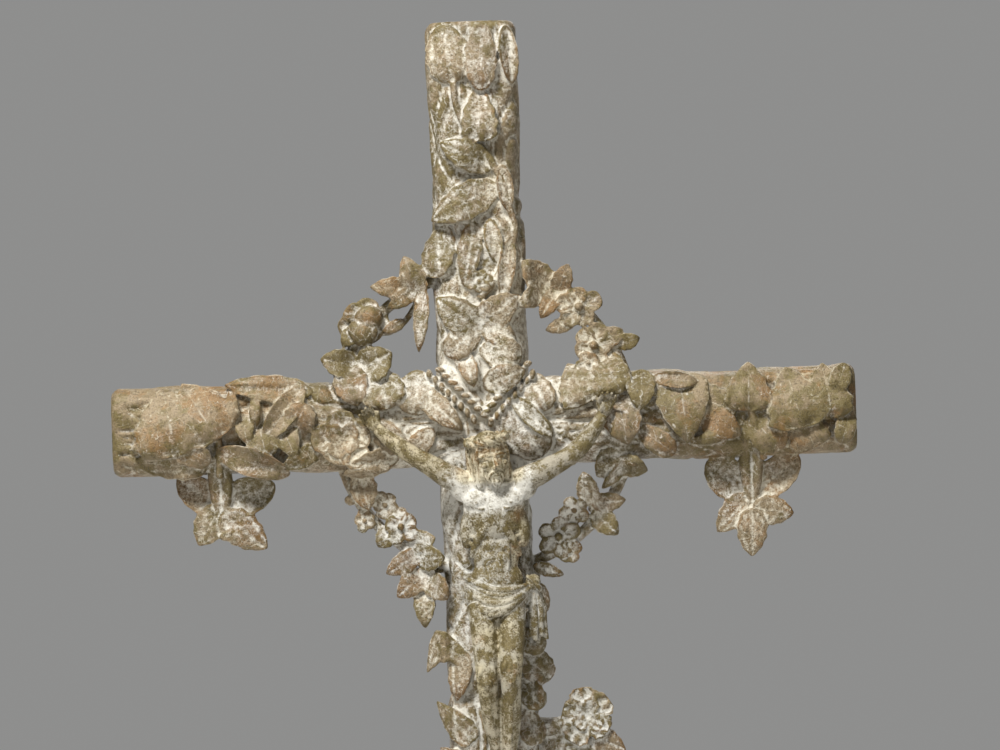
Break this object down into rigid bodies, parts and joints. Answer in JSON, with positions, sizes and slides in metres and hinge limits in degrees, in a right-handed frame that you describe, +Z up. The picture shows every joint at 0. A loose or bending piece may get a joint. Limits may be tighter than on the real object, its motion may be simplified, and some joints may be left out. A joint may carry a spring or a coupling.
{
  "type": "cast iron grave crucifix",
  "caption": "Rustic log cross in cast iron with ivy in relief, an openwork wreath of roses round the crossing, hanging leaf pendants and a bolted-on corpus, set in the ground at its foot.",
  "frame": {"origin": "on the foot's flat underside, below the middle of the log", "axes": "+Z up the shaft, +X to the right of someone facing the figure, -Y out of the front"},
  "size_m": [0.7, 0.0887, 1.25],
  "materials": {
    "cross_iron": "weathered bare iron, brown and olive, with rust patches and white-grey lime in the hollows",
    "corpus_iron": "weathered iron under white-grey lime, worn brown on the high spots"
  },
  "bodies": {
    "root": {"cross": "cross_iron", "corpus": "corpus_iron"}
  },
  "joints": []
}
